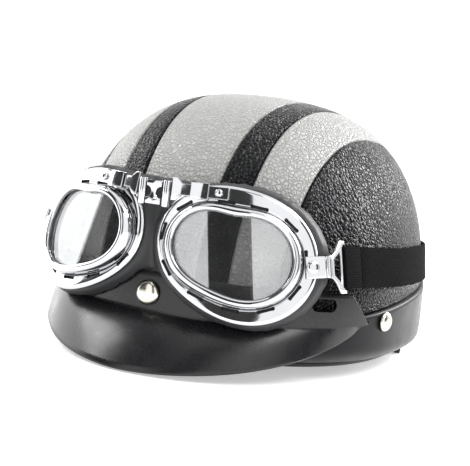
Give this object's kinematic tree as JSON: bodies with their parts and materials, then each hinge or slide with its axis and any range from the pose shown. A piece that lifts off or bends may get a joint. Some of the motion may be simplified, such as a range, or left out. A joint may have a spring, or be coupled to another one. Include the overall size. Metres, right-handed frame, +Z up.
{
  "type": "open-face half helmet with goggles",
  "caption": "Leather-covered open-face half helmet with a short peak, strapped aviator goggles that lift, padding and a buckled chin strap.",
  "frame": {"origin": "under the middle of the helmet's box, on the floor it stands on", "axes": "+X to the wearer's left, -Y out of the front of the helmet, +Z up through the crown"},
  "size_m": [0.2345, 0.3086, 0.1692],
  "materials": {
    "grey_leather": "pebbled polyurethane leather, satin",
    "black_leather": "pebbled polyurethane leather, soft sheen",
    "shell_plastic": "satin moulded ABS",
    "peak_plastic": "satin moulded ABS",
    "liner_foam": "moulded impact foam",
    "lining_fabric": "brushed knit lining over soft foam",
    "pad_leather": "padded leatherette roll",
    "trim_rubber": "extruded edge trim",
    "nickel": "domed nickel snap caps and pins",
    "mask_rubber": "soft matte leatherette over foam rubber",
    "lens_clear": "clear curved lens",
    "chrome": "bright chrome plating",
    "strap_webbing": "woven elastic strap",
    "chin_webbing": "woven nylon webbing",
    "buckle_plastic": "moulded acetal",
    "lever_red": "moulded release lever"
  },
  "bodies": {
    "helmet": {"outer_shell": "shell_plastic", "leather_center": "grey_leather", "leather_black_stripe_left": "black_leather", "leather_black_stripe_right": "black_leather", "leather_grey_stripe_left": "grey_leather", "leather_grey_stripe_right": "grey_leather", "leather_side_left": "black_leather", "leather_side_right": "black_leather", "foam_liner": "liner_foam", "lining_crown": "lining_fabric", "lining_front": "lining_fabric", "lining_rear": "lining_fabric", "lining_side_left": "lining_fabric", "lining_side_right": "lining_fabric", "neck_pad": "pad_leather", "edge_trim": "trim_rubber", "peak": "peak_plastic", "peak_snap": "nickel", "side_snap_left": "nickel", "side_snap_right": "nickel", "chin_anchor_left": "nickel", "chin_anchor_right": "nickel", "strap_rear": "strap_webbing", "keeper_stud": "nickel"},
    "goggles": {"mask_cushion": "mask_rubber", "bridge_plate": "chrome", "frame_left": "chrome", "frame_right": "chrome", "bezel_left": "chrome", "bezel_right": "chrome", "lens_left": "lens_clear", "lens_right": "lens_clear", "bridge_pin_left": "chrome", "bridge_pin_right": "chrome", "bridge_link_left": "chrome", "bridge_link_right": "chrome", "bridge_clamp_left": "chrome", "bridge_clamp_right": "chrome", "bridge_rivet_left": "chrome", "bridge_rivet_right": "chrome", "side_tab_left": "chrome", "side_tab_right": "chrome", "side_rivet_left": "chrome", "side_rivet_right": "chrome", "strap_left": "strap_webbing", "strap_right": "strap_webbing"},
    "hook_left": {"strap_hook_left": "chrome", "strap_loop_left": "strap_webbing"},
    "hook_right": {"strap_hook_right": "chrome", "strap_loop_right": "strap_webbing"},
    "adjuster": {"strap_adjuster": "buckle_plastic"},
    "keeper": {"strap_keeper": "black_leather", "keeper_snap": "nickel"},
    "chin": {"chin_strap_short": "chin_webbing", "chin_strap_long": "chin_webbing", "chin_pad": "lining_fabric", "buckle_socket": "buckle_plastic", "buckle_plug": "buckle_plastic"},
    "lever": {"buckle_lever": "lever_red"}
  },
  "joints": [
    {"name": "goggles_lift", "type": "hinge", "parent": "helmet", "child": "goggles", "pos_m": [0, 0.14746, 0.057], "axis": [-1, 0, 0], "range_deg": [0, 12]},
    {"name": "hook_left_turn", "type": "hinge", "parent": "goggles", "child": "hook_left", "pos_m": [0.0973, -0.09678, 0.07107], "axis": [-0.2263, 0.0715, 0.9714], "range_deg": [-10, 6]},
    {"name": "hook_right_turn", "type": "hinge", "parent": "goggles", "child": "hook_right", "pos_m": [-0.0973, -0.09678, 0.07107], "axis": [0.2263, 0.0715, 0.9714], "range_deg": [-6, 10]},
    {"name": "adjuster_slide", "type": "slide", "parent": "goggles", "child": "adjuster", "axis": [0.1719, -0.9846, 0.0324], "range_m": [-0.003, 0.003]},
    {"name": "keeper_flap", "type": "hinge", "parent": "helmet", "child": "keeper", "pos_m": [0, 0.13729, 0.092], "axis": [1, 0, 0], "range_deg": [0, 110]},
    {"name": "chin_strap_swing", "type": "hinge", "parent": "helmet", "child": "chin", "pos_m": [0, 0.00246, 0.012], "axis": [-1, 0, 0], "range_deg": [0, 105]},
    {"name": "buckle_lever_lift", "type": "hinge", "parent": "chin", "child": "lever", "pos_m": [0.07054, 0.03623, 0.012], "axis": [0, 0, -1], "range_deg": [0, 35]}
  ]
}
